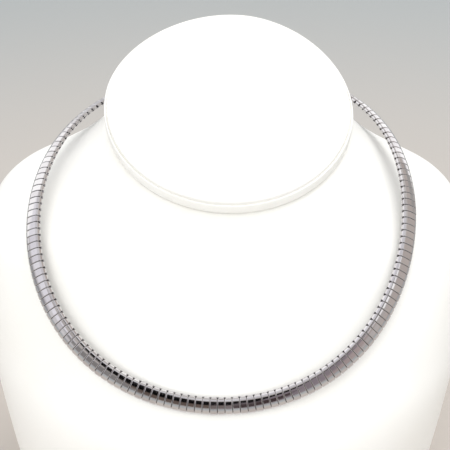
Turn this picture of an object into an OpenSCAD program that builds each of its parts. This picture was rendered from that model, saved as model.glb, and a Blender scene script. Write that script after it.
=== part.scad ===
// Omega necklace worn by a leatherette neck bust.
// A closed collar of domed plates on a flat mesh core lies over the shoulders
// and chest of a half-length form whose neck ends in a slanted oval cap.
// Millimetres, +Z up, origin at the middle of the base, the chest faces -Y.

/* [Bust] */
// Overall height, from the base to the back edge of the cap
bust_h = 187; // [170:1:210]
// Overall width, across the shoulders
bust_w = 185; // [170:1:205]
// Overall depth, from the chest to the back
bust_d = 134; // [122:1:146]
// Distance of the neck's middle behind the middle of the base
neck_back = 20; // [14:0.5:24]
// Radius of the edge round the base
base_r = 3; // [1:0.5:5]

/* [Neck cap] */
// Width of the oval cap
cap_w = 90.2; // [82:0.1:94]
// Length of the oval cap along its slope
cap_l = 83.4; // [76:0.1:88]
// Thickness of the cap
cap_t = 7; // [4:0.5:8]
// Forward slope of the cap, in degrees
cap_tilt = 31.5; // [24:0.5:36]
// Turn of the oval in its own plane, in degrees
cap_turn = -10; // [-12:0.5:12]
// Sideways place of the cap and of the neck's top
cap_side = 1.2; // [-1.5:0.1:1.5]
// Overhang of the cap past the neck
cap_lip = 1.6; // [0.8:0.1:3]
// Gap between the cap and the neck
cap_gap = 0.2; // [0.1:0.05:0.4]

/* [Collar] */
// Width of the collar's oval, side to side on the centre line
collar_w = 134.2; // [128:0.1:138]
// Length of the collar's oval, front to back on the centre line
collar_l = 140; // [134:0.1:146]
// Rise of the two sides out of the oval's plane
collar_rise = 14.5; // [10:0.1:17]
// Slope of the oval's plane, front down, in degrees
collar_tilt = 31; // [26:0.5:34]
// Distance of the oval's middle in front of the neck's middle
collar_fwd = 15.8; // [12:0.1:18]
// Sideways place of the collar on the bust
collar_side = -0.2; // [-2.5:0.1:2.5]
// Sideways lean of the oval, its front to one side and its back to the other
collar_skew = 2.1; // [0:0.05:2.5]
// Squareness of the oval, as a share of its size
collar_square = 0.012; // [0:0.0005:0.018]
// Three-sided unevenness of the oval, as a share of its size
collar_lobe = 0.007; // [0:0.0005:0.01]
// Gap between the collar and the bust where it rests
rest_gap = 0.5; // [0.4:0.05:0.8]

/* [Plates] */
// Spacing of the plates along the centre line, before it is evened out
plate_pitch = 2.54; // [2.3:0.01:3]
// Width of a plate across the band
plate_w = 6.2; // [5.4:0.1:7]
// Height of the dome, from the folded edge to the crown
plate_h = 2.1; // [1.9:0.05:2.5]
// Thickness of the plate's sheet
plate_t = 0.35; // [0.3:0.05:0.45]
// Width of the lip that folds under each side of a plate
plate_fold = 1.1; // [0.8:0.1:1.5]
// Least gap between one plate and the next
plate_gap = 0.12; // [0.1:0.01:0.2]
// Cut at each corner of a plate
plate_corner = 0.45; // [0.2:0.05:0.7]
// Lean of the plates' faces out of the oval's plane, in degrees
plate_lean = 54; // [50:1:65]
// How much less the plates lean at the back of the neck, in degrees
lean_back = 28; // [0:1:32]

/* [Mesh core] */
// Thickness of the flat mesh that carries the plates
core_t = 0.5; // [0.4:0.05:0.6]
// Clearance between the mesh and the plates
core_gap = 0.15; // [0.12:0.01:0.25]

/* [Clasp] */
// Length of the box clasp at the back of the neck
clasp_l = 9; // [7:0.5:12]
// Width of the box clasp
clasp_w = 6.6; // [5.8:0.1:7.4]
// Thickness of the box clasp
clasp_t = 2.4; // [2:0.1:3]
// Radius of the clasp's long edges
clasp_r = 0.6; // [0.3:0.1:0.9]

/* [Hidden] */

// Sections of the bust from the base up. Height is a share of bust_h. Width,
// front and back run from 0, the neck, to 1, the widest of the shoulders, the
// chest and the back. Middle is where the section is widest, as a share of the
// depth from its front. Power 2 is an ellipse and more is squarer.
// [height, width, front, middle, back, power]
SECTIONS = [
    [0.000, 0.66, 0.72, 0.54, 0.36, 2.2],
    [0.123, 0.78, 0.89, 0.59, 0.68, 2.2],
    [0.257, 0.89, 1.00, 0.66, 0.92, 2.2],
    [0.390, 0.96, 0.93, 0.67, 1.00, 2.3],
    [0.465, 0.99, 0.748, 0.66, 1.00, 2.4],
    [0.540, 1.00, 0.567, 0.66, 1.00, 2.5],
    [0.600, 0.99, 0.43, 0.66, 1.00, 2.5],
    [0.638, 0.95, 0.345, 0.66, 1.00, 2.45],
    [0.672, 0.87, 0.27, 0.66, 1.00, 2.4],
    [0.706, 0.73, 0.19, 0.66, 0.95, 2.3],
    [0.744, 0.51, 0.12, 0.60, 0.90, 2.2],
    [0.786, 0.31, 0.06, 0.525, 0.80, 2.1],
    [0.832, 0.16, 0.02, 0.48, 0.65, 2],
    [0.888, 0.06, 0.00, 0.475, 0.39, 2],
    [1.000, 0.00, 0.00, 0.50, 0.00, 2]
];
// Shares of the height where the level rings end and the rings begin to slope
level_top = 0.62;
level_rings = 15;
slope_rings = 15;
around = 64;

// Neck under the cap
neck_w = cap_w - 2 * cap_lip;
cap_run = cap_l * cos(cap_tilt);
neck_front = neck_back - cap_run / 2 + cap_lip;
neck_rear = neck_back + cap_run / 2 - cap_lip;

// Outline of the cap in its own plane, where the power of its back half is under
// an ellipse's 2, and the height of its middle
cap_pinch = 1.88;
CAP = [for (k = [0 : 71])
    let(q = 5 * k, e = sin(q) > 0 ? cap_pinch : 2,
        x = cap_w / 2 * signed_pow(cos(q), 2 / e), y = cap_l / 2 * signed_pow(sin(q), 2 / e))
    [x * cos(cap_turn) - y * sin(cap_turn), x * sin(cap_turn) + y * cos(cap_turn)]];
cap_z = bust_h - max([for (p = CAP) p[1]]) * sin(cap_tilt);

// Interpolated section table
last = len(SECTIONS) - 1;
function slope(i, c) =
    let(a = max(i - 1, 0), b = min(i + 1, last))
    (SECTIONS[b][c] - SECTIONS[a][c]) / (SECTIONS[b][0] - SECTIONS[a][0]);
function row_of(h, i = 0) =
    i >= last - 1 || h < SECTIONS[i + 1][0] ? i : row_of(h, i + 1);
function share(h, i, c) =
    let(d = SECTIONS[i + 1][0] - SECTIONS[i][0], s = (h - SECTIONS[i][0]) / d)
    (2 * s ^ 3 - 3 * s ^ 2 + 1) * SECTIONS[i][c] + (s ^ 3 - 2 * s ^ 2 + s) * d * slope(i, c)
    + (3 * s ^ 2 - 2 * s ^ 3) * SECTIONS[i + 1][c] + (s ^ 3 - s ^ 2) * d * slope(i + 1, c);

// Half width, front, middle, back, power and sideways place of the bust at a
// height, where the flare out of the neck runs from 0, the bare neck, to 1
function section_at(z, flare = 1) =
    let(h = min(max(z / bust_h, 0), 1), i = row_of(h),
        front = neck_front - flare * share(h, i, 2) * (bust_d / 2 + neck_front),
        back = neck_rear + flare * share(h, i, 4) * (bust_d / 2 - neck_rear),
        middle = 0.5 + flare * (share(h, i, 3) - 0.5))
    [neck_w / 2 + flare * share(h, i, 1) * (bust_w - neck_w) / 2,
     front, front + middle * (back - front), back, 2 + flare * (share(h, i, 5) - 2),
     cap_side * sqrt(1 - flare)];

function signed_pow(v, e) = sign(v) * pow(abs(v), e);

// Point of a section at an angle, drawn in by an inset
function on_section(s, q, inset = 0) =
    let(reach = (sin(q) < 0 ? s[2] - s[1] : s[3] - s[2]) - inset)
    [s[5] + (s[0] - inset) * signed_pow(cos(q), 2 / s[4]),
     s[2] + reach * signed_pow(sin(q), 2 / s[4])];

// Plane of the neck's top, under the cap, and how much of the flare is left on
// the way up to it
function neck_top(y) = cap_z - (cap_t + cap_gap) / cos(cap_tilt) + (y - neck_back) * tan(cap_tilt);
flare_z = bust_h * level_top;
function rise(z, top) = min(max((z - flare_z) / (top - flare_z), 0), 1);
function flare_at(v) = 1 - v ^ 4;

// Share of a section's size at which a point lies: over 1 is outside the bust
function spread(p, gap) =
    let(s = section_at(p[2], flare_at(rise(p[2], neck_top(max(p[1], neck_front))))),
        reach = (p[1] < s[2] ? s[2] - s[1] : s[3] - s[2]) + gap)
    pow(pow(abs(p[0] - s[5]) / (s[0] + gap), s[4]) + pow(abs(p[1] - s[2]) / reach, s[4]), 1 / s[4]);

// Oval of the collar about its own middle, by its angle from the front
function unit(v) = v / norm(v);
function oval(t) =
    let(u = collar_w / 2 * (sin(t) + collar_square * sin(3 * t) + collar_lobe * cos(2 * t)),
        w = -collar_l / 2 * (cos(t) - collar_square * cos(3 * t) + collar_lobe * sin(2 * t)),
        z = collar_rise * sin(t) ^ 2)
    [u - collar_skew * cos(t),
     w * cos(collar_tilt) - z * sin(collar_tilt),
     w * sin(collar_tilt) + z * cos(collar_tilt)];
collar_up = [0, -sin(collar_tilt), cos(collar_tilt)];

// Directions at an angle: along the band, across it and out of its face
function along(t) = unit(oval(t + 0.5) - oval(t - 0.5));
function outward(t) = unit(cross(along(t), collar_up));
function upward(t) = cross(outward(t), along(t));
function lean(t) = plate_lean - lean_back * max(-cos(t), 0);
function face(t) = cos(lean(t)) * outward(t) + sin(lean(t)) * upward(t);
function across(t) = sin(lean(t)) * outward(t) - cos(lean(t)) * upward(t);

// Height at which the collar comes to rest: the highest that any of its edges
// needs to stay outside the bust
base_v = -core_t / 2 - core_gap - plate_t;
function rests(p, lo, hi, n) =
    n == 0 ? hi
    : spread(p + [0, 0, (lo + hi) / 2], rest_gap) > 1 ? rests(p, lo, (lo + hi) / 2, n - 1)
    : rests(p, (lo + hi) / 2, hi, n - 1);
collar_y = neck_back - collar_fwd;
collar_z = max([for (t = [0 : 5 : 355], u = [-0.5, 0, 0.5])
    rests([collar_side, collar_y, 0] + oval(t) + u * plate_w * across(t) + base_v * face(t),
        bust_h * 0.4, bust_h * 0.9, 16)]);
function route(t) = [collar_side, collar_y, collar_z] + oval(t);

// Length along the collar, and the angle at a length
step = 2;
function run(t, s = 0) =
    t >= 360 ? [[s, 360]]
    : concat([[s, t]], run(t + step, s + norm(oval(t + step) - oval(t))));
RUN = run(0);
collar_len = RUN[len(RUN) - 1][0];
function angle_at(s) = lookup(s, RUN);

// Plates, evened out over the whole collar, with room for the clasp. The bend,
// which is tightest at the corners of the squared oval, brings neighbours closer
// at the collar's inner edge
slots = round(collar_len / plate_pitch);
pitch = collar_len / slots;
inner_bend = 1 - plate_w * (1 + 15 * collar_square + 8 * collar_lobe) / min(collar_w, collar_l);
plate_l = pitch * inner_bend - plate_gap;
clasp_at = collar_len / 2;
clasp_room = clasp_l / 2 / inner_bend;
PLATES = [for (i = [0 : slots - 1])
    if (abs(i * pitch - clasp_at) > clasp_room + plate_l / 2 + plate_gap) i * pitch];

// Turn of a piece whose X runs across the band, Y out of its face and Z back
// along it
function turn(t) =
    let(x = across(t), y = face(t), z = -along(t))
    [atan2(y[2], z[2]), asin(-x[2]), atan2(x[1], x[0])];

module placed(s) {
    t = angle_at(s);
    translate(route(t)) rotate(turn(t)) children();
}

// Half of a plate's dome, from its foot to its crown
// [share of the half width, share of the height]
DOME = [[1, 0], [1, 0.28], [0.82, 0.68], [0.40, 0.97], [0, 1]];
function dome(w, h, from) = [for (i = [from : len(DOME) - 1]) [DOME[i][0] * w, base_v + DOME[i][1] * h]];
function mirrored(side) = [for (i = [len(side) - 1 : -1 : 0]) [-side[i][0], side[i][1]]];
OUTER = dome(plate_w / 2, plate_h, 0);
INNER = dome(plate_w / 2 - plate_t, plate_h - plate_t, 1);

// Section of a plate: the domed sheet with its two lips folded under
module plate_section() {
    lip = plate_w / 2 - plate_fold;
    edge = plate_w / 2 - plate_t;
    half = concat(
        [[lip, base_v]], OUTER);
    inside = concat(
        [[lip, base_v], [lip, base_v + plate_t], [edge, base_v + plate_t]], INNER);
    polygon(concat(half, mirrored([for (i = [0 : len(half) - 2]) half[i]]),
        [for (i = [1 : len(inside) - 1]) [-inside[i][0], inside[i][1]]],
        [for (i = [len(inside) - 2 : -1 : 1]) inside[i]]));
}

module plate() {
    h = plate_l / 2;
    w = plate_w / 2;
    c = plate_corner;
    intersection() {
        linear_extrude(height = plate_l, center = true) plate_section();
        rotate([90, 0, 0]) linear_extrude(height = 4 * plate_h, center = true)
            polygon([[c - w, -h], [w - c, -h], [w, c - h], [w, h - c],
                [w - c, h], [c - w, h], [-w, h - c], [-w, c - h]]);
    }
}

// Bust: level rings up to the shoulders, then rings that slope more and more
// until the last lies in the plane under the cap
function ring_level(z, inset) = [for (k = [0 : around - 1])
    let(p = on_section(section_at(z), 360 * k / around, inset)) [p[0], p[1], z]];
function ring_slope(v) = [for (k = [0 : around - 1])
    let(q = 360 * k / around,
        z = flare_z + v * (neck_top(on_section(section_at(bust_h, 0), q)[1]) - flare_z),
        p = on_section(section_at(z, flare_at(v)), q))
    [p[0], p[1], z]];
RINGS = concat(
    [for (a = [0 : 30 : 60]) ring_level(base_r * (1 - cos(a)), base_r * (1 - sin(a)))],
    [for (j = [0 : level_rings - 1])
        ring_level(base_r + (flare_z - base_r) * j / level_rings, 0)],
    [for (j = [0 : slope_rings]) ring_slope(j / slope_rings)]);

// Closed skin over a list of rings of equal count
module skin(rings) {
    n = len(rings[0]);
    m = len(rings);
    polyhedron(
        points = [for (r = rings, p = r) p],
        faces = concat(
            [[for (k = [0 : n - 1]) k]],
            [[for (k = [n - 1 : -1 : 0]) (m - 1) * n + k]],
            [for (j = [0 : m - 2], k = [0 : n - 1])
                [j * n + k, (j + 1) * n + k, (j + 1) * n + (k + 1) % n]],
            [for (j = [0 : m - 2], k = [0 : n - 1])
                [j * n + k, (j + 1) * n + (k + 1) % n, j * n + (k + 1) % n]]));
}

module bust_body() {
    color("whitesmoke") skin(RINGS);
}

module neck_cap() {
    color("white")
        translate([cap_side, neck_back, cap_z])
            rotate([cap_tilt, 0, 0])
                translate([0, 0, -cap_t])
                    linear_extrude(height = cap_t) polygon(CAP);
}

module omega_plates() {
    color("silver") for (s = PLATES) placed(s) plate();
}

module mesh_core() {
    v = core_t / 2;
    u = lookup(v + core_gap, [for (p = INNER) [p[1], p[0]]]) - core_gap;
    first = clasp_at + clasp_room + core_gap;
    length = collar_len - 2 * (clasp_room + core_gap);
    n = 96;
    color("gainsboro")
        skin([for (j = [0 : n])
            let(s = first + length * j / n, t = angle_at(s > collar_len ? s - collar_len : s))
            [for (c = [[-u, -v], [-u, v], [u, v], [u, -v]])
                route(t) + c[0] * across(t) + c[1] * face(t)]]);
}

module clasp() {
    r = clasp_r;
    color("silver") placed(clasp_at)
        linear_extrude(height = clasp_l, center = true)
            union() {
                square([clasp_w - 2 * r, clasp_t], center = true);
                square([clasp_w, clasp_t - 2 * r], center = true);
                for (x = [-1, 1], y = [-1, 1])
                    translate([x * (clasp_w / 2 - r), y * (clasp_t / 2 - r)])
                        circle(r = r, $fn = 24);
            }
}

bust_body();
neck_cap();
omega_plates();
mesh_core();
clasp();
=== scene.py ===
"""Looks of an omega necklace on a leatherette neck bust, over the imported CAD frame."""

import logging
import math
import random
from collections.abc import Callable
from dataclasses import dataclass, field
from enum import Enum

import bpy
from mathutils import Matrix, Vector


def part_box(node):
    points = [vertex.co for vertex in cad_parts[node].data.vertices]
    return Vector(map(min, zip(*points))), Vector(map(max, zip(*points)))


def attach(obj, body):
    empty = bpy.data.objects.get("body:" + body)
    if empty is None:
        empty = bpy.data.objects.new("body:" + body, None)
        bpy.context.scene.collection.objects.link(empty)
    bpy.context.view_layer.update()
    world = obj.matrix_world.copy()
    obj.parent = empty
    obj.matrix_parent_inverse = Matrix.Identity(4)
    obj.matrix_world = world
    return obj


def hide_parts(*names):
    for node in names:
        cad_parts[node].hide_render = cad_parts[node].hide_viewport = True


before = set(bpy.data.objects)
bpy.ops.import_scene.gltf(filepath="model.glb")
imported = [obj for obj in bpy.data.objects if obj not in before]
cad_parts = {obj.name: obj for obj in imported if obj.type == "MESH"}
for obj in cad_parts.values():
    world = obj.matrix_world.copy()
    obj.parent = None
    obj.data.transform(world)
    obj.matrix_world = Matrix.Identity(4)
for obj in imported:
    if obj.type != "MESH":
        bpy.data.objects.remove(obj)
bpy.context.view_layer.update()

MM = 0.001
CLOSE = 1e-7
LOG = logging.getLogger("omega_necklace")


# Small tools


def linear(colour: str) -> tuple[float, float, float, float]:
    """Turns an sRGB hex colour into a linear one.

    Args:
        colour: the colour as "#rrggbb".

    Returns:
        Red, green, blue and alpha for a shader socket.
    """
    parts = [int(colour[i : i + 2], 16) / 255 for i in (1, 3, 5)]
    r, g, b = (c / 12.92 if c <= 0.04045 else ((c + 0.055) / 1.055) ** 2.4 for c in parts)
    return (r, g, b, 1.0)


def add_node(
    tree: bpy.types.NodeTree, kind: str, links: dict | None = None, **settings: object
) -> bpy.types.Node:
    """Adds one node to a tree.

    Args:
        tree: the tree that gets the node.
        kind: Blender's name for the node's type.
        links: a socket to link from, or a value to set, for each input by name or number.
        settings: the node's own properties.

    Returns:
        The new node.
    """
    made = tree.nodes.new(kind)
    for name, value in settings.items():
        setattr(made, name, value)
    for key, value in (links or {}).items():
        if isinstance(value, bpy.types.NodeSocket):
            tree.links.new(value, made.inputs[key])
        else:
            made.inputs[key].default_value = value
    return made


def deselect() -> None:
    """Leaves nothing selected."""
    bpy.ops.object.select_all(action="DESELECT")


def only(piece: bpy.types.Object) -> None:
    """Selects one object alone and makes it active.

    Args:
        piece: the object.
    """
    deselect()
    piece.select_set(True)
    bpy.context.view_layer.objects.active = piece


def newest(name: str) -> bpy.types.Object:
    """Names the primitive that was just added, and its mesh.

    Args:
        name: the piece's name.

    Returns:
        The new object.
    """
    piece = bpy.context.view_layer.objects.active
    piece.name = name
    piece.data.name = name
    return piece


def copy_of(piece: bpy.types.Object) -> bpy.types.Object:
    """Copies an object together with its mesh.

    Args:
        piece: the object to copy.

    Returns:
        The copy, which is in the scene.
    """
    copy = piece.copy()
    copy.data = piece.data.copy()
    bpy.context.scene.collection.objects.link(copy)
    return copy


def pick(
    piece: bpy.types.Object, test: Callable[[Vector], bool], domain: str = "VERT"
) -> None:
    """Goes to edit mode with only some of a mesh selected.

    Args:
        piece: the object whose mesh is edited.
        test: a function of a place, in metres, that is true where it is selected.
        domain: "VERT" tests each vertex and "FACE" each face's middle.
    """
    if piece.mode != "OBJECT":
        bpy.ops.object.mode_set(mode="OBJECT")
    mesh = piece.data
    for group in (mesh.vertices, mesh.edges, mesh.polygons):
        group.foreach_set("select", [False] * len(group))
    if domain == "VERT":
        for v in mesh.vertices:
            v.select = bool(test(v.co))
    else:
        for p in mesh.polygons:
            p.select = bool(test(p.center))
    bpy.ops.object.mode_set(mode="EDIT")
    bpy.ops.mesh.select_mode(type=domain)


def to_object_mode() -> None:
    """Leaves edit mode."""
    bpy.ops.object.mode_set(mode="OBJECT")


def edit_all(piece: bpy.types.Object) -> None:
    """Goes to edit mode with the whole of a mesh selected.

    Args:
        piece: the object whose mesh is edited.
    """
    only(piece)
    bpy.ops.object.mode_set(mode="EDIT")
    bpy.ops.mesh.select_all(action="SELECT")


def finish_with(piece: bpy.types.Object, kind: str, **settings: object) -> None:
    """Adds a modifier to a piece and applies it.

    Args:
        piece: the object that the modifier shapes.
        kind: Blender's name for the modifier's type.
        settings: the modifier's own properties.
    """
    only(piece)
    modifier = piece.modifiers.new(kind.lower(), kind)
    for name, value in settings.items():
        setattr(modifier, name, value)
    bpy.ops.object.modifier_apply(modifier=modifier.name)


def apply_place(piece: bpy.types.Object, place: Matrix | None = None) -> None:
    """Moves a piece's place from its object into its mesh.

    Args:
        piece: the object, which is left at the origin, unturned and unscaled.
        place: a further move of the mesh, or None.
    """
    piece.data.transform((place or Matrix.Identity(4)) @ piece.matrix_world)
    piece.matrix_world = Matrix.Identity(4)
    piece.data.update()


def smooth(piece: bpy.types.Object, degrees: float) -> None:
    """Shades a piece smooth, but for edges sharper than an angle in degrees."""
    only(piece)
    bpy.ops.object.shade_smooth_by_angle(angle=math.radians(degrees))


def dress(
    piece: bpy.types.Object, material: bpy.types.Material, nodes: list[str]
) -> None:
    """Gives a finished piece its material and body, and hides the CAD nodes that it replaces.

    Args:
        piece: the finished object.
        material: its finish.
        nodes: names of the CAD nodes that it replaces.
    """
    piece.data.materials.clear()
    piece.data.materials.append(material)
    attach(piece, "root")
    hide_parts(*nodes)
    piece.data.calc_loop_triangles()
    LOG.info("%s: %d triangles", piece.name, len(piece.data.loop_triangles))


# Finishes


class Bumps(Enum):
    """Real sizes, in metres, of the patterns that the finishes draw.

    A cloud is a patch of creamier white, about 36 mm across.
    """

    PEBBLE = 1.1 * MM
    PORE = 0.35 * MM
    SCRATCH = 0.25 * MM
    WIRE = 0.5 * MM
    CLOUD = 1 / 28


def new_material(name: str) -> tuple[bpy.types.Material, bpy.types.NodeTree, bpy.types.Node]:
    """Starts a material with a bare Principled shader.

    Args:
        name: the finish, in a maker's words.

    Returns:
        The material, its tree and its Principled node.
    """
    material = bpy.data.materials.new(name)
    material.use_nodes = True
    tree = material.node_tree
    tree.nodes.clear()
    shader = add_node(tree, "ShaderNodeBsdfPrincipled")
    add_node(tree, "ShaderNodeOutputMaterial", {"Surface": shader.outputs["BSDF"]})
    return material, tree, shader


@dataclass(frozen=True)
class Leatherette:
    """White PVC leathercloth, embossed with a fine pebble grain.

    The embossing gives a faint pebbled sheen, and handling leaves it a little creamier here
    and there.
    """

    name: str
    light: str = "#f7f7f5"
    cream: str = "#f1efe9"
    roughness: float = 0.48
    uneven: float = 0.06
    grain: float = 0.5
    depth: float = 0.05 * MM
    ior: float = 1.47

    def material(self) -> bpy.types.Material:
        """Makes the material.

        Returns:
            The material, for a whole piece.
        """
        material, tree, shader = new_material(self.name)
        where = add_node(tree, "ShaderNodeTexCoord").outputs["Object"]
        cells = add_node(
            tree, "ShaderNodeTexVoronoi", {"Vector": where, "Scale": 1 / Bumps.PEBBLE.value},
            feature="SMOOTH_F1",
        )
        pores = add_node(
            tree, "ShaderNodeTexNoise",
            {"Vector": where, "Scale": 1 / Bumps.PORE.value, "Detail": 2.0},
        )
        clouds = add_node(
            tree, "ShaderNodeTexNoise",
            {"Vector": where, "Scale": 1 / Bumps.CLOUD.value, "Detail": 3.0},
        )
        tint = add_node(
            tree, "ShaderNodeMix",
            {"Factor": clouds.outputs["Fac"], 6: linear(self.light), 7: linear(self.cream)},
            data_type="RGBA",
        )
        tree.links.new(tint.outputs[2], shader.inputs["Base Color"])
        sheen = add_node(
            tree, "ShaderNodeMapRange",
            {"Value": pores.outputs["Fac"], "To Min": self.roughness - self.uneven,
             "To Max": self.roughness + self.uneven},
        )
        tree.links.new(sheen.outputs["Result"], shader.inputs["Roughness"])
        grain = add_node(
            tree, "ShaderNodeMath",
            {0: cells.outputs["Distance"], 1: pores.outputs["Fac"]}, operation="ADD",
        )
        bump = add_node(
            tree, "ShaderNodeBump",
            {"Height": grain.outputs["Value"], "Strength": self.grain, "Distance": self.depth},
        )
        tree.links.new(bump.outputs["Normal"], shader.inputs["Normal"])
        shader.inputs["IOR"].default_value = self.ior
        return material


@dataclass(frozen=True)
class PolishedSilver:
    """Rhodium-plated silver sheet, pressed and mirror polished.

    The mop leaves hairlines along the band that only soften the mirror, and each plate takes
    the plating a shade lighter or darker.
    """

    name: str
    bright: str = "#dcdadb"
    dull: str = "#cdcacc"
    roughness: float = 0.075
    smoother: float = 0.03
    rougher: float = 0.07
    hairline: float = 0.1
    depth: float = 0.01 * MM

    def material(self) -> bpy.types.Material:
        """Makes the material.

        Returns:
            The material, for a whole piece.
        """
        material, tree, shader = new_material(self.name)
        where = add_node(tree, "ShaderNodeTexCoord").outputs["Object"]
        shade = add_node(tree, "ShaderNodeAttribute", attribute_name="plate_tone")
        tint = add_node(
            tree, "ShaderNodeMix",
            {"Factor": shade.outputs["Fac"], 6: linear(self.bright), 7: linear(self.dull)},
            data_type="RGBA",
        )
        tree.links.new(tint.outputs[2], shader.inputs["Base Color"])
        marks = add_node(
            tree, "ShaderNodeTexNoise",
            {"Vector": where, "Scale": 1 / Bumps.SCRATCH.value, "Detail": 3.0},
        )
        wear = add_node(
            tree, "ShaderNodeMapRange",
            {"Value": marks.outputs["Fac"], "From Min": 0.35, "From Max": 0.75,
             "To Min": self.roughness - self.smoother, "To Max": self.roughness + self.rougher},
        )
        tree.links.new(wear.outputs["Result"], shader.inputs["Roughness"])
        bump = add_node(
            tree, "ShaderNodeBump",
            {"Height": marks.outputs["Fac"], "Strength": self.hairline, "Distance": self.depth},
        )
        tree.links.new(bump.outputs["Normal"], shader.inputs["Normal"])
        shader.inputs["Metallic"].default_value = 1.0
        return material


@dataclass(frozen=True)
class WovenSilver:
    """Silver wire, woven into a flat mesh and rolled.

    It is darker and softer than the plates, with a slanted ladder of wires, and the darker colour
    between the wires is painted shade in the holes of the weave.
    """

    name: str
    wire: str = "#a5a2a1"
    # gap: painted shade in the holes between the wires
    gap: str = "#4c4a4a"
    roughness: float = 0.3
    width: float = 5.5 * MM
    length: float = 430 * MM
    slant: float = 0.7
    ladder: float = 0.32
    depth: float = 0.12 * MM

    def material(self) -> bpy.types.Material:
        """Makes the material.

        Returns:
            The material, for a whole piece.
        """
        material, tree, shader = new_material(self.name)
        uv = add_node(tree, "ShaderNodeUVMap", uv_map="UVMap").outputs["UV"]
        wires = (self.width / Bumps.WIRE.value, self.length / Bumps.WIRE.value, 1.0)
        spread = add_node(tree, "ShaderNodeMapping", {"Vector": uv, "Scale": wires})
        strands = []
        for turn in (self.slant, -self.slant):
            turned = add_node(
                tree, "ShaderNodeMapping",
                {"Vector": spread.outputs["Vector"], "Rotation": (0.0, 0.0, turn)},
            )
            strands.append(
                add_node(
                    tree, "ShaderNodeTexWave",
                    {"Vector": turned.outputs["Vector"], "Scale": self.ladder, "Distortion": 0.4},
                    wave_type="BANDS", bands_direction="X",
                ).outputs["Fac"]
            )
        weave = add_node(
            tree, "ShaderNodeMath", {0: strands[0], 1: strands[1]}, operation="MAXIMUM"
        )
        # Painted shade: the gap colour darkens the holes between the wires
        tint = add_node(
            tree, "ShaderNodeMix",
            {"Factor": weave.outputs["Value"], 6: linear(self.gap), 7: linear(self.wire)},
            data_type="RGBA",
        )
        tree.links.new(tint.outputs[2], shader.inputs["Base Color"])
        bump = add_node(
            tree, "ShaderNodeBump",
            {"Height": weave.outputs["Value"], "Strength": 0.8, "Distance": self.depth},
        )
        tree.links.new(bump.outputs["Normal"], shader.inputs["Normal"])
        shader.inputs["Metallic"].default_value = 1.0
        shader.inputs["Roughness"].default_value = self.roughness
        return material


# Collar


@dataclass
class CollarLine:
    """The oval that the band follows round the bust, in metres, as in the part's source.

    The core is the mesh ribbon's width and thickness, and the table gives the angle from the
    front at each length round the oval.
    """

    width: float = 134.2 * MM
    length: float = 140 * MM
    rise: float = 14.5 * MM
    tilt: float = math.radians(31)
    lean: float = math.radians(54)
    lean_back: float = math.radians(28)
    side: float = -0.2 * MM
    forward: float = 4.2 * MM
    skew: float = 2.1 * MM
    square: float = 0.012
    lobe: float = 0.007
    core: tuple[float, float] = (4.266 * MM, 0.5 * MM)
    steps: int = 180
    step: float = math.radians(2)
    height: float = 0.0
    table: list[tuple[float, float]] = field(default_factory=list)

    def __post_init__(self) -> None:
        """Measures the length round the oval, and takes its height from the mesh core."""
        s, t = 0.0, 0.0
        for _ in range(self.steps + 1):
            self.table.append((s, t))
            s += (self.oval(t + self.step) - self.oval(t)).length
            t += self.step
        wide, thick = self.core
        lowest = min(
            (self.oval(t) + u * across + v * face).z
            for t in (i * self.step for i in range(self.steps))
            for _, face, across in [self.axes(t)]
            for u in (-wide / 2, wide / 2)
            for v in (-thick / 2, thick / 2)
        )
        self.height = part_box("mesh_core")[0].z - lowest

    def oval(self, t: float) -> Vector:
        """Finds a point of the oval, about the oval's own middle.

        Args:
            t: the angle from the front, in radians.

        Returns:
            The point, in metres.
        """
        u = self.width / 2 * (
            math.sin(t) + self.square * math.sin(3 * t) + self.lobe * math.cos(2 * t)
        )
        w = -self.length / 2 * (
            math.cos(t) - self.square * math.cos(3 * t) + self.lobe * math.sin(2 * t)
        )
        z = self.rise * math.sin(t) ** 2
        return Vector((
            u - self.skew * math.cos(t),
            w * math.cos(self.tilt) - z * math.sin(self.tilt),
            w * math.sin(self.tilt) + z * math.cos(self.tilt),
        ))

    def axes(self, t: float) -> tuple[Vector, Vector, Vector]:
        """Finds the directions at an angle.

        Args:
            t: the angle from the front, in radians.

        Returns:
            Along the band, out of its face, and across it towards its outer edge.
        """
        half = math.radians(0.5)
        along = (self.oval(t + half) - self.oval(t - half)).normalized()
        level = Vector((0, -math.sin(self.tilt), math.cos(self.tilt)))
        outward = along.cross(level).normalized()
        upward = outward.cross(along)
        lean = self.lean - self.lean_back * max(-math.cos(t), 0.0)
        face = math.cos(lean) * outward + math.sin(lean) * upward
        across = math.sin(lean) * outward - math.cos(lean) * upward
        return along, face, across

    @property
    def around(self) -> float:
        """Returns the length all the way round."""
        return self.table[-1][0]

    def angle_at(self, s: float) -> float:
        """Finds the angle at a length round the oval.

        Args:
            s: the length from the front.

        Returns:
            The angle from the front, in radians.
        """
        s = s % self.around
        for (s0, t0), (s1, t1) in zip(self.table, self.table[1:]):
            if s <= s1:
                return t0 + (t1 - t0) * (s - s0) / (s1 - s0)
        return 0.0

    def place(self, s: float) -> Matrix:
        """Places a piece on the band.

        Args:
            s: the length from the front.

        Returns:
            The matrix whose X runs across the band, Y along it and Z out of its face.
        """
        t = self.angle_at(s)
        along, face, across = self.axes(t)
        turn = Matrix((across, along, face)).transposed().to_4x4()
        spot = Vector((self.side, self.forward, self.height)) + self.oval(t)
        return Matrix.Translation(spot) @ turn


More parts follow.
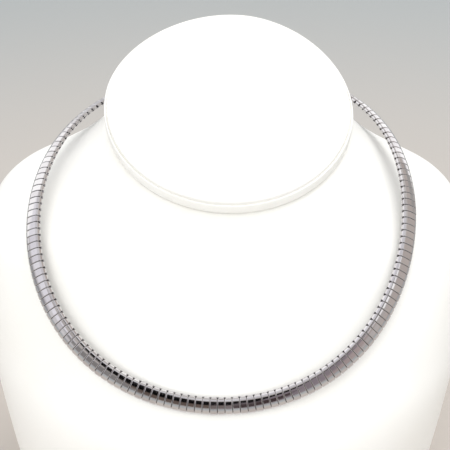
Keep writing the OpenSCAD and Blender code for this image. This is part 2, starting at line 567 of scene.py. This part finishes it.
@dataclass
class OmegaBand:
    """The collar: domed plates, the mesh that carries them and the box clasp.

    A plate's section is a flattened oval of the width, dome and power, over a foot that is
    folded under. Its rows are where its sheet has edges, as shares of half its length. Each
    drop is the share from which the sheet is pressed down, and how much of the edge it takes.
    It rocks and turns a little out of line, in degrees.
    """

    line: CollarLine
    pitch_wanted: float = 2.54 * MM
    width: float = 6.2 * MM
    dome: float = 2.1 * MM
    power: float = 2.46
    foot: float = -0.75 * MM
    foot_rise: float = 0.12 * MM
    foot_round: float = 0.1 * MM
    sheet: float = 0.3 * MM
    fold: float = 1.1 * MM
    corner: float = 0.55 * MM
    length: float = 2.38 * MM
    rows: tuple[float, ...] = (-1.0, -0.93, -0.87, -0.82, 0.82, 0.87, 0.93, 1.0)
    drops: tuple[tuple[float, float], ...] = ((0.96, 1.0), (0.9, 0.3))
    edge: float = 0.13 * MM
    slit: float = 0.12 * MM
    seed: int = 17
    rock: float = 0.45
    turn: float = 0.35
    mesh_gap: float = 0.35 * MM
    mesh_edge: float = 0.12 * MM
    clasp: tuple[float, float, float] = (6.6 * MM, 9 * MM, 2.4 * MM)
    clasp_border: float = 0.7 * MM
    clasp_raise: float = 0.22 * MM
    clasp_edge: float = 0.5 * MM
    silver: bpy.types.Material | None = None
    mesh: bpy.types.Material | None = None

    def profile(self) -> list[tuple[float, float]]:
        """Draws half of the plate's section.

        Returns:
            X and Z from beside the crown, down to the foot and in under it.
        """
        side = self.width / 2
        points = []
        for degrees in (80, 69, 58, 47, 37, 28, 20, 13, 6):
            a = math.radians(degrees)
            x = side * math.cos(a) ** (2 / self.power)
            z = self.foot + self.dome * math.sin(a) ** (2 / self.power)
            points.append((x, z))
        return points + [
            (side, self.foot + self.foot_rise),
            (side - self.foot_round, self.foot),
            (side - self.fold, self.foot),
        ]

    def half_length(self, x: float) -> float:
        """Finds half of a plate's length, which its round corners shorten at the sides.

        Args:
            x: the distance from the plate's middle, across the band.

        Returns:
            Half of the length there.
        """
        start = self.width / 2 - self.corner
        share = max(0.0, (abs(x) - start) / self.corner)
        return self.length / 2 - 0.8 * self.corner * share**2

    def plate(self) -> bpy.types.Object:
        """Models one plate as sheet pressed over a former.

        The strip at the crown is extruded down both sides and folded under, its ends are
        rounded over, and the sheet then gets its thickness.

        Returns:
            The plate, at the origin.
        """
        deselect()
        points = self.profile()
        x0, z0 = points[0]
        last = len(self.rows) - 1
        bpy.ops.mesh.primitive_grid_add(x_subdivisions=2, y_subdivisions=last, size=2)
        piece = newest("plate")
        apply_place(piece, Matrix.Diagonal((x0, 1.0, 1.0, 1.0)))
        crown = self.foot + self.dome
        for v in piece.data.vertices:
            v.co.y = self.rows[round((v.co.y + 1) / 2 * last)] * self.length / 2
            v.co.z = crown if abs(v.co.x) < CLOSE else z0
        for side in (1, -1):
            x, z = x0, z0
            for nx, nz in points[1:]:
                pick(piece, lambda p: abs(p.x - side * x) < CLOSE and abs(p.z - z) < CLOSE)
                bpy.ops.mesh.extrude_region_move(
                    TRANSFORM_OT_translate={"value": (side * (nx - x), 0, nz - z)}
                )
                ratio = self.half_length(nx) / self.half_length(x)
                bpy.ops.transform.resize(value=(1, ratio, 1), center_override=(0, 0, 0))
                x, z = nx, nz
        to_object_mode()
        self.round_ends(piece)
        edit_all(piece)
        bpy.ops.mesh.normals_make_consistent(inside=False)
        to_object_mode()
        if sum((p.normal.z for p in piece.data.polygons if p.center.z > 0), 0.0) < 0:
            piece.data.flip_normals()
        finish_with(piece, "SOLIDIFY", thickness=self.sheet, offset=-1.0)
        return piece

    def round_ends(self, piece: bpy.types.Object) -> None:
        """Presses the two ends of a plate's sheet down into a rounded edge.

        Args:
            piece: the plate, before its sheet has a thickness.
        """
        mesh = piece.data
        normals = [v.normal.copy() for v in mesh.vertices]
        for v, n in zip(mesh.vertices, normals):
            share = abs(v.co.y) / self.half_length(v.co.x)
            drop = next((drop for start, drop in self.drops if share >= start), 0.0)
            up = n if n.dot(Vector((v.co.x, 0, v.co.z + 2 * MM))) > 0 else -n
            v.co -= up * drop * self.edge
        mesh.update()

    def places(self) -> list[float]:
        """Spaces the plates evenly, leaving room for the clasp.

        Returns:
            Each plate's length from the front.
        """
        slots = round(self.line.around / self.pitch_wanted)
        pitch = self.line.around / slots
        corner = 1 + 15 * self.line.square + 8 * self.line.lobe
        bend = 1 - self.width * corner / min(self.line.width, self.line.length)
        room = self.clasp[1] / 2 / bend + (pitch * bend - self.slit) / 2 + self.slit
        middle = self.line.around / 2
        return [i * pitch for i in range(slots) if abs(i * pitch - middle) > room]

    def build_plates(self) -> bpy.types.Object:
        """Copies the plate round the collar, each one a touch out of line and of tone.

        Returns:
            All the plates as one piece.
        """
        plate = self.plate()
        chance = random.Random(self.seed)
        copies = []
        for s in self.places():
            copy = copy_of(plate)
            sway = Matrix.Rotation(math.radians(chance.gauss(0, self.rock)), 4, "X")
            sway @= Matrix.Rotation(math.radians(chance.gauss(0, self.turn)), 4, "Y")
            copy.data.transform(self.line.place(s) @ sway)
            tone = copy.data.attributes.new("plate_tone", "FLOAT", "POINT")
            tone.data.foreach_set("value", [chance.random()] * len(copy.data.vertices))
            copies.append(copy)
        bpy.data.objects.remove(plate)
        only(copies[0])
        for copy in copies:
            copy.select_set(True)
        bpy.ops.object.join()
        piece = newest("plate_row")
        smooth(piece, 50)
        return piece

    def build_ribbon(self) -> bpy.types.Object:
        """Lays the flat mesh round the collar from one side of the clasp to the other.

        Returns:
            The mesh ribbon.
        """
        deselect()
        bpy.ops.mesh.primitive_grid_add(x_subdivisions=4, y_subdivisions=320, size=2)
        piece = newest("mesh_ribbon")
        wide, thick = self.line.core
        start = self.line.around / 2 + self.clasp[1] / 2 + self.mesh_gap
        run = self.line.around - self.clasp[1] - 2 * self.mesh_gap
        for v in piece.data.vertices:
            x = v.co.x * wide / 2
            v.co = self.line.place(start + run * (v.co.y + 1) / 2) @ Vector((x, 0, 0))
        piece.data.update()
        finish_with(piece, "SOLIDIFY", thickness=thick, offset=0.0)
        finish_with(piece, "BEVEL", width=self.mesh_edge, segments=2, limit_method="ANGLE")
        smooth(piece, 50)
        return piece

    def build_clasp(self) -> bpy.types.Object:
        """Models the plain box clasp at the back of the neck.

        Returns:
            The clasp.
        """
        deselect()
        bpy.ops.mesh.primitive_cube_add(size=1)
        piece = newest("box_clasp")
        apply_place(piece, Matrix.Diagonal((*self.clasp, 1.0)))
        top = self.clasp[2] / 2
        pick(piece, lambda p: p.z > top * 0.9, "FACE")
        bpy.ops.mesh.inset(thickness=self.clasp_border)
        bpy.ops.transform.translate(value=(0, 0, self.clasp_raise))
        to_object_mode()
        finish_with(piece, "BEVEL", width=self.clasp_edge, segments=4, limit_method="ANGLE")
        apply_place(piece, self.line.place(self.line.around / 2))
        smooth(piece, 50)
        return piece

    def build(self) -> None:
        """Builds and dresses the plates, the mesh and the clasp."""
        dress(self.build_plates(), self.silver, ["omega_plates"])
        dress(self.build_ribbon(), self.mesh, ["mesh_core"])
        dress(self.build_clasp(), self.silver, ["clasp"])


# Bust


@dataclass
class NeckBust:
    """The leatherette stand: the body and the slanted oval cap on its neck.

    Each gather is a wave of the leatherette round the neck: how many, how strong and where
    they start, in radians. Each ring of the cap is how far it is drawn in and how high it
    lies, in millimetres: the wrapped edge, the crease that is sewn down, the padded top.
    """

    height: float = 187 * MM
    neck_back: float = 20 * MM
    smoothing: int = 2
    hold_from: float = 6 * MM
    hold_over: float = 10 * MM
    gathers: tuple[tuple[int, float, float], ...] = (
        (19, 1.0, 0.6), (31, 0.7, 2.1), (47, 0.5, 0.0),
    )
    gather_depth: float = 0.1 * MM
    gather_fade: float = 5 * MM
    gather_reach: tuple[float, float] = (-1 * MM, 24 * MM)
    cap_width: float = 90.2 * MM
    cap_length: float = 83.4 * MM
    cap_thick: float = 7 * MM
    cap_seam: float = 0.2 * MM
    cap_tilt: float = math.radians(31.5)
    cap_turn: float = math.radians(-10)
    cap_side: float = 1.2 * MM
    front_power: float = 2.0
    rear_power: float = 1.88
    rings: tuple[tuple[float, float], ...] = (
        (1.5, 0.0), (0.8, 0.25), (0.32, 0.8), (0.07, 1.6), (0.0, 2.4), (0.0, 3.2),
        (0.05, 4.4), (0.15, 5.4), (0.3, 5.75), (0.6, 5.85), (0.85, 5.3), (1.05, 5.2),
        (1.15, 6.3), (1.35, 6.7), (1.8, 6.92), (2.6, 7.02), (8.0, 7.1), (18.0, 7.16),
        (30.0, 7.19), (38.0, 7.2),
    )
    body_skin: bpy.types.Material | None = None
    cap_skin: bpy.types.Material | None = None

    @property
    def cap_height(self) -> float:
        """Finds how high the cap lies, from the height of the whole bust.

        Returns:
            The height of the middle of its top.
        """
        angles = (math.radians(5 * k) for k in range(72))
        edge = (self.oval_point(Vector((math.cos(a), math.sin(a), 0)), 0.0) for a in angles)
        reach = max(x * math.sin(self.cap_turn) + y * math.cos(self.cap_turn) for x, y in edge)
        return self.height - reach * math.sin(self.cap_tilt)

    def below_cap(self, p: Vector) -> float:
        """Returns how far a point lies under the cap's lower side, straight down."""
        under = self.cap_height - (self.cap_thick + self.cap_seam) / math.cos(self.cap_tilt)
        return under + (p.y - self.neck_back) * math.tan(self.cap_tilt) - p.z

    def hold_form(self, piece: bpy.types.Object) -> None:
        """Moves the vertices so that smoothing leaves them on the solid's form.

        The move fades out towards the cap's rim and towards the base.

        Args:
            piece: the body, before it is smoothed.
        """
        trial = copy_of(piece)
        finish_with(trial, "SUBSURF", levels=self.smoothing, render_levels=self.smoothing)
        for v, got in zip(piece.data.vertices, list(trial.data.vertices)):
            share = min(max((self.below_cap(v.co) - self.hold_from) / self.hold_over, 0.0), 1.0)
            share *= min(v.co.z / self.hold_over, 1.0)
            v.co += share * (v.co - got.co)
        bpy.data.objects.remove(trial)

    def gather(self, piece: bpy.types.Object) -> None:
        """Puckers the leatherette where it is drawn in under the cap.

        Args:
            piece: the smoothed body.
        """
        above, below = self.gather_reach
        for v in piece.data.vertices:
            deep = self.below_cap(v.co)
            if above < deep < below:
                out = Vector((v.co.x - self.cap_side, v.co.y - self.neck_back, 0)).normalized()
                a = math.atan2(out.x, -out.y)
                wave = sum(share * math.sin(n * a + start) for n, share, start in self.gathers)
                fade = math.exp(-max(deep, 0) / self.gather_fade)
                v.co += out * self.gather_depth * wave * fade
        piece.data.update()

    def build_body(self) -> bpy.types.Object:
        """Smooths a copy of the bust and gathers its leatherette under the cap.

        Returns:
            The body.
        """
        piece = copy_of(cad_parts["bust_body"])
        for key in list(piece.keys()):
            del piece[key]
        piece.name = piece.data.name = "bust_form"
        edit_all(piece)
        bpy.ops.mesh.remove_doubles(threshold=0.01 * MM)
        bpy.ops.mesh.tris_convert_to_quads(
            face_threshold=math.radians(25), shape_threshold=math.radians(60)
        )
        to_object_mode()
        self.hold_form(piece)
        finish_with(piece, "SUBSURF", levels=self.smoothing, render_levels=self.smoothing)
        self.gather(piece)
        smooth(piece, 60)
        return piece

    def oval_point(self, p: Vector, inset: float) -> tuple[float, float]:
        """Bends a unit circle into the cap's outline.

        Args:
            p: a point of the unit circle.
            inset: how far the outline is drawn in, in metres.

        Returns:
            X and Y in metres.
        """
        e = 2 / (self.rear_power if p.y > 0 else self.front_power)
        x = math.copysign(abs(p.x) ** e, p.x) * (self.cap_width / 2 - inset)
        y = math.copysign(abs(p.y) ** e, p.y) * (self.cap_length / 2 - inset)
        return x, y

    def build_cap(self) -> bpy.types.Object:
        """Models the cap ring by ring, from its lower edge to the middle of its top.

        Returns:
            The cap.
        """
        deselect()
        bpy.ops.mesh.primitive_circle_add(vertices=192, radius=1, fill_type="NGON")
        piece = newest("cap_cover")
        unit = [v.co.copy() for v in piece.data.vertices]
        count = len(unit)
        inset, z = self.rings[0]
        spots = [self.oval_point(u, inset * MM) for u in unit]
        for v, spot in zip(piece.data.vertices, spots):
            v.co = Vector((*spot, z * MM))
        for inset, z in self.rings[1:]:
            top = piece.data.vertices[len(piece.data.vertices) - count].co.z
            pick(piece, lambda p: abs(p.z - top) < CLOSE, "FACE")
            bpy.ops.mesh.extrude_region_move(
                TRANSFORM_OT_translate={"value": (0, 0, z * MM - top)}
            )
            to_object_mode()
            drawn = [self.oval_point(u, inset * MM) for u in unit]
            for v in list(piece.data.vertices)[-count:]:
                near = min(range(count), key=lambda k: math.dist(spots[k], v.co.xy))
                v.co.x, v.co.y = drawn[near]
            spots = drawn
        piece.data.update()
        apply_place(
            piece,
            Matrix.Translation((self.cap_side, self.neck_back, self.cap_height))
            @ Matrix.Rotation(self.cap_tilt, 4, "X")
            @ Matrix.Rotation(self.cap_turn, 4, "Z")
            @ Matrix.Translation((0, 0, -self.cap_thick)),
        )
        smooth(piece, 70)
        return piece

    def build(self) -> None:
        """Builds and dresses the body and the cap."""
        dress(self.build_body(), self.body_skin, ["bust_body"])
        dress(self.build_cap(), self.cap_skin, ["neck_cap"])


# Studio


@dataclass
class Panel:
    """A soft-edged patch of the studio walls that the polished metal mirrors.

    Its place is in degrees: the middle's heading from the front, half its width, its lower
    and upper edges above the level, and how soft its edges are. The power brightens it.
    """

    colour: str
    heading: float
    half_width: float
    low: float
    high: float
    soft: float
    power: float = 1.0

    def edges(self) -> list[tuple[float, float]]:
        """Finds where the patch fades in and out.

        Returns:
            The values that give none and all of it: the cosine from its heading, the height
            of its lower edge and the height of its upper edge, in radians.
        """
        outer, inner = self.half_width + self.soft, max(self.half_width - self.soft, 0)
        return [
            (math.cos(math.radians(outer)), math.cos(math.radians(inner))),
            (math.radians(self.low - self.soft), math.radians(self.low + self.soft)),
            (math.radians(self.high + self.soft), math.radians(self.high - self.soft)),
        ]


@dataclass
class Lamp:
    """A large soft light: where it hangs, its size in metres and its power in watts."""

    name: str
    spot: tuple[float, float, float]
    size: float
    power: float

    def hang(self, aim: tuple[float, float, float]) -> None:
        """Hangs the light, out of sight of the polished metal.

        Args:
            aim: the point that it shines at.
        """
        data = bpy.data.lights.new(self.name, "AREA")
        data.size = self.size
        data.energy = self.power
        light = bpy.data.objects.new(self.name, data)
        light.location = self.spot
        ray = Vector(aim) - Vector(self.spot)
        light.rotation_euler = ray.to_track_quat("-Z", "Y").to_euler()
        light.visible_glossy = False
        bpy.context.scene.collection.objects.link(light)


@dataclass
class Studio:
    """The plain floor, the soft light and the camera at the photograph's angle."""

    camera_side: float = math.radians(1.5)
    camera_height: float = math.radians(30)
    distance: float = 419.2 * MM
    target: tuple[float, float, float] = (0.4 * MM, 4.5 * MM, 124.05 * MM)
    focal: float = 92.0
    sensor: float = 36.0
    wall: str = "#b6baba"
    surround: str = "#c9c4c1"
    dark: str = "#030304"
    dome: float = 0.93
    # Floor colours: painted light, lighter near the middle and greyer with distance
    floor_painted_lit: str = "#beb7b0"
    floor_painted_dim: str = "#a3a8a9"
    painted_falloff: tuple[float, float] = (0.15, 0.75)
    floor_reach: float = 4.0
    aim: tuple[float, float, float] = (0.0, 0.0, 0.1)

    def build_floor(self) -> None:
        """Lays a wide pale floor whose colour greys with distance, a painted fall-off of the
        light.
        """
        deselect()
        bpy.ops.mesh.primitive_circle_add(vertices=96, radius=self.floor_reach, fill_type="NGON")
        floor = newest("floor")
        # Uncoated paper, rolled matt, which scatters the light evenly
        material, tree, shader = new_material("pale matt paper")
        where = add_node(tree, "ShaderNodeTexCoord").outputs["Object"]
        far = add_node(tree, "ShaderNodeVectorMath", {0: where}, operation="LENGTH")
        share = add_node(
            tree, "ShaderNodeMapRange",
            {"Value": far.outputs["Value"], "From Min": self.painted_falloff[0],
             "From Max": self.painted_falloff[1]},
            interpolation_type="SMOOTHSTEP",
        )
        # Painted light: the colour greys with distance from the middle, a painted fall-off
        tint = add_node(
            tree, "ShaderNodeMix",
            {"Factor": share.outputs["Result"], 6: linear(self.floor_painted_lit),
             7: linear(self.floor_painted_dim)},
            data_type="RGBA",
        )
        tree.links.new(tint.outputs[2], shader.inputs["Base Color"])
        shader.inputs["Roughness"].default_value = 0.8
        floor.data.materials.append(material)

    def panels(self) -> list[Panel]:
        """Lists the patches of the walls, each painted over those before it.

        Returns:
            The soft patches of the walls, then the dark line over the front of the collar.
        """
        return [
            Panel("#ebeaee", -15, 80, 62, 95, 4),
            Panel("#e0ddd9", 120, 62, 62, 95, 6),
            Panel("#e6e6e8", -168, 14, -35, 60, 5),
            Panel("#e6e4e6", -75, 32, -40, 14, 5),
            Panel("#f1f0f6", -72, 38, 14, 64, 4, 1.15),
            Panel("#a9a8ab", -88, 20, -6, 9, 3),
            Panel("#ffffff", -128, 24, -35, 82, 5, 1.35),
            Panel("#cdc4be", 95, 40, -40, 62, 5),
            Panel("#ffffff", 38, 13, 38, 66, 3, 1.2),
            Panel("#ffffff", 148, 16, -25, 62, 4, 1.4),
            Panel("#b5b3b0", 122, 9, 8, 27, 3),
            Panel("#93908f", -31, 14, -2, 20, 4),
            Panel("#bbaca9", 31, 9, 0, 30, 4),
            Panel("#988e94", 12, 13, 0, 47, 3),
            Panel("#483c3c", 5, 4, 2, 19, 1.5),
            Panel("#6f625b", -9, 8, 2, 24, 2),
            Panel(self.dark, 16, 6, 62, 68, 1.5),
            Panel(self.dark, 11, 7, 56, 64, 1),
            Panel(self.dark, 5, 5, 50, 58, 1),
            Panel(self.dark, -1, 4.5, 45, 54, 1),
            Panel(self.dark, -5, 5.5, 37, 49, 1),
            Panel(self.dark, -7.5, 8, 18, 40, 1),
        ]

    def build_walls(self) -> None:
        """Paints the studio's walls as the world.

        The metal mirrors the patches, matt surfaces take their light from an even dome, and
        the camera sees a plain wall.
        """
        world = bpy.data.worlds.new("studio")
        bpy.context.scene.world = world
        world.use_nodes = True
        tree = world.node_tree
        tree.nodes.clear()
        ray = add_node(tree, "ShaderNodeTexCoord").outputs["Generated"]
        parts = add_node(tree, "ShaderNodeSeparateXYZ", {"Vector": ray})
        height = add_node(
            tree, "ShaderNodeMath", {0: parts.outputs["Z"]}, operation="ARCSINE"
        ).outputs["Value"]
        flat = add_node(
            tree, "ShaderNodeCombineXYZ", {"X": parts.outputs["X"], "Y": parts.outputs["Y"]}
        )
        heading = add_node(
            tree, "ShaderNodeVectorMath", {0: flat.outputs["Vector"]}, operation="NORMALIZE"
        )
        colour = add_node(tree, "ShaderNodeRGB")
        colour.outputs[0].default_value = linear(self.surround)
        shown = colour.outputs[0]
        for p in self.panels():
            a = math.radians(p.heading)
            facing = add_node(
                tree, "ShaderNodeVectorMath",
                {0: heading.outputs["Vector"], 1: (math.sin(a), -math.cos(a), 0.0)},
                operation="DOT_PRODUCT",
            ).outputs["Value"]
            mask = None
            for value, (start, end) in zip((facing, height, height), p.edges()):
                edge = add_node(
                    tree, "ShaderNodeMapRange",
                    {"Value": value, "From Min": start, "From Max": end},
                    interpolation_type="SMOOTHSTEP",
                ).outputs["Result"]
                mask = edge if mask is None else add_node(
                    tree, "ShaderNodeMath", {0: mask, 1: edge}, operation="MULTIPLY"
                ).outputs["Value"]
            r, g, b, _ = linear(p.colour)
            shown = add_node(
                tree, "ShaderNodeMix",
                {"Factor": mask, 6: shown, 7: (r * p.power, g * p.power, b * p.power, 1.0)},
                data_type="RGBA",
            ).outputs[2]
        walls = add_node(tree, "ShaderNodeBackground", {"Color": shown})
        dome = add_node(
            tree, "ShaderNodeBackground", {"Color": linear("#ffffff"), "Strength": self.dome}
        )
        plain = add_node(tree, "ShaderNodeBackground", {"Color": linear(self.wall)})
        path = add_node(tree, "ShaderNodeLightPath")
        lit = add_node(
            tree, "ShaderNodeMixShader",
            {0: path.outputs["Is Diffuse Ray"], 1: walls.outputs[0], 2: dome.outputs[0]},
        )
        both = add_node(
            tree, "ShaderNodeMixShader",
            {0: path.outputs["Is Camera Ray"], 1: lit.outputs[0], 2: plain.outputs[0]},
        )
        add_node(tree, "ShaderNodeOutputWorld", {"Surface": both.outputs[0]})

    def build_lights(self) -> None:
        """Hangs one soft light overhead and one in front."""
        for lamp in (
            Lamp("key", (0.5, 0.2, 1.4), 0.9, 7.0),
            Lamp("front", (-0.3, -1.3, 1.1), 1.2, 11.0),
        ):
            lamp.hang(self.aim)

    def build_camera(self) -> None:
        """Sets the camera where the photograph was taken from."""
        e, a = self.camera_height, self.camera_side
        back = Vector((math.sin(a) * math.cos(e), -math.cos(a) * math.cos(e), math.sin(e)))
        data = bpy.data.cameras.new("camera")
        data.sensor_width = self.sensor
        data.lens = self.focal
        data.clip_start = 0.01
        camera = bpy.data.objects.new("camera", data)
        camera.location = Vector(self.target) + back * self.distance
        camera.rotation_euler = back.to_track_quat("Z", "Y").to_euler()
        bpy.context.scene.collection.objects.link(camera)
        bpy.context.scene.camera = camera

    def build(self) -> None:
        """Builds the floor, walls, lights and camera."""
        bpy.context.scene.view_settings.view_transform = "Standard"
        self.build_floor()
        self.build_walls()
        self.build_lights()
        self.build_camera()


# Main


def main() -> None:
    """Builds the studio, the bust and the necklace in order, and reports each piece."""
    logging.basicConfig(level=logging.INFO, format="%(name)s %(message)s")
    Studio().build()
    NeckBust(
        body_skin=Leatherette("embossed leatherette, body").material(),
        cap_skin=Leatherette("embossed leatherette, cap", light="#f8f8f6").material(),
    ).build()
    OmegaBand(
        CollarLine(),
        silver=PolishedSilver("polished rhodium-plated silver").material(),
        mesh=WovenSilver("woven silver wire").material(),
    ).build()


if __name__ == "__main__":
    main()
